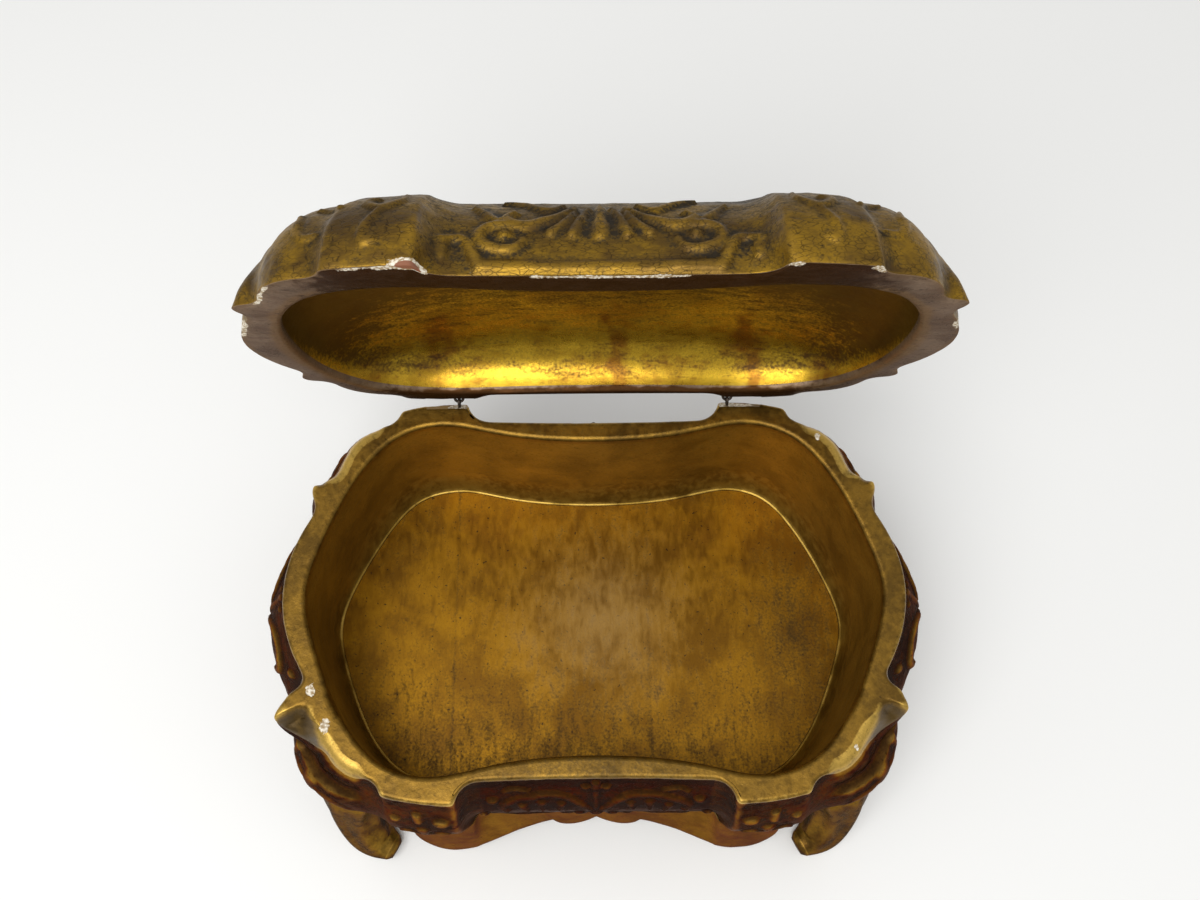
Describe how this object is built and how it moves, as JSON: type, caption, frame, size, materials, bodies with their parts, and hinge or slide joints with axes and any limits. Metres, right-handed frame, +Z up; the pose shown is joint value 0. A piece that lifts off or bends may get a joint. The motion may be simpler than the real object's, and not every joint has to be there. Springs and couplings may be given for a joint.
{
  "type": "decorative wooden box",
  "caption": "Serpentine bombé casket of carved and gilded wood on scroll feet, with scalloped aprons and a hollowed dome lid that swings on wire eyes.",
  "frame": {"origin": "on the table, under the middle of the open box's bounding box", "axes": "+X to the right as seen from the front, +Y to the back where the lid is hung, +Z up"},
  "size_m": [0.233, 0.1786, 0.2351],
  "materials": {
    "body_gilding": "satin gilding, toned brown in the carving",
    "floor_gilding": "worn satin gilding",
    "lid_gilding": "worn gilding outside, burnished inside",
    "foot_gilding": "bronze-toned gilding",
    "apron_gilding": "copper-toned gilding",
    "dowel_wood": "bare",
    "iron_wire": "dark, lightly rusted"
  },
  "bodies": {
    "box": {"front_wall": "body_gilding", "rear_wall": "body_gilding", "left_wall": "body_gilding", "right_wall": "body_gilding", "bottom_board": "floor_gilding", "front_left_foot": "foot_gilding", "front_right_foot": "foot_gilding", "rear_left_foot": "foot_gilding", "rear_right_foot": "foot_gilding", "front_apron": "apron_gilding", "rear_apron": "apron_gilding", "left_apron": "apron_gilding", "right_apron": "apron_gilding", "foot_dowels": "dowel_wood", "body_eye_left": "iron_wire", "body_eye_right": "iron_wire"},
    "lid": {"lid": "lid_gilding", "lid_eye_left": "iron_wire", "lid_eye_right": "iron_wire"}
  },
  "joints": [
    {"name": "lid_hinge", "type": "hinge", "parent": "box", "child": "lid", "pos_m": [0, 0.06304, 0.0982], "axis": [1, 0, 0], "range_deg": [0, 80]}
  ]
}
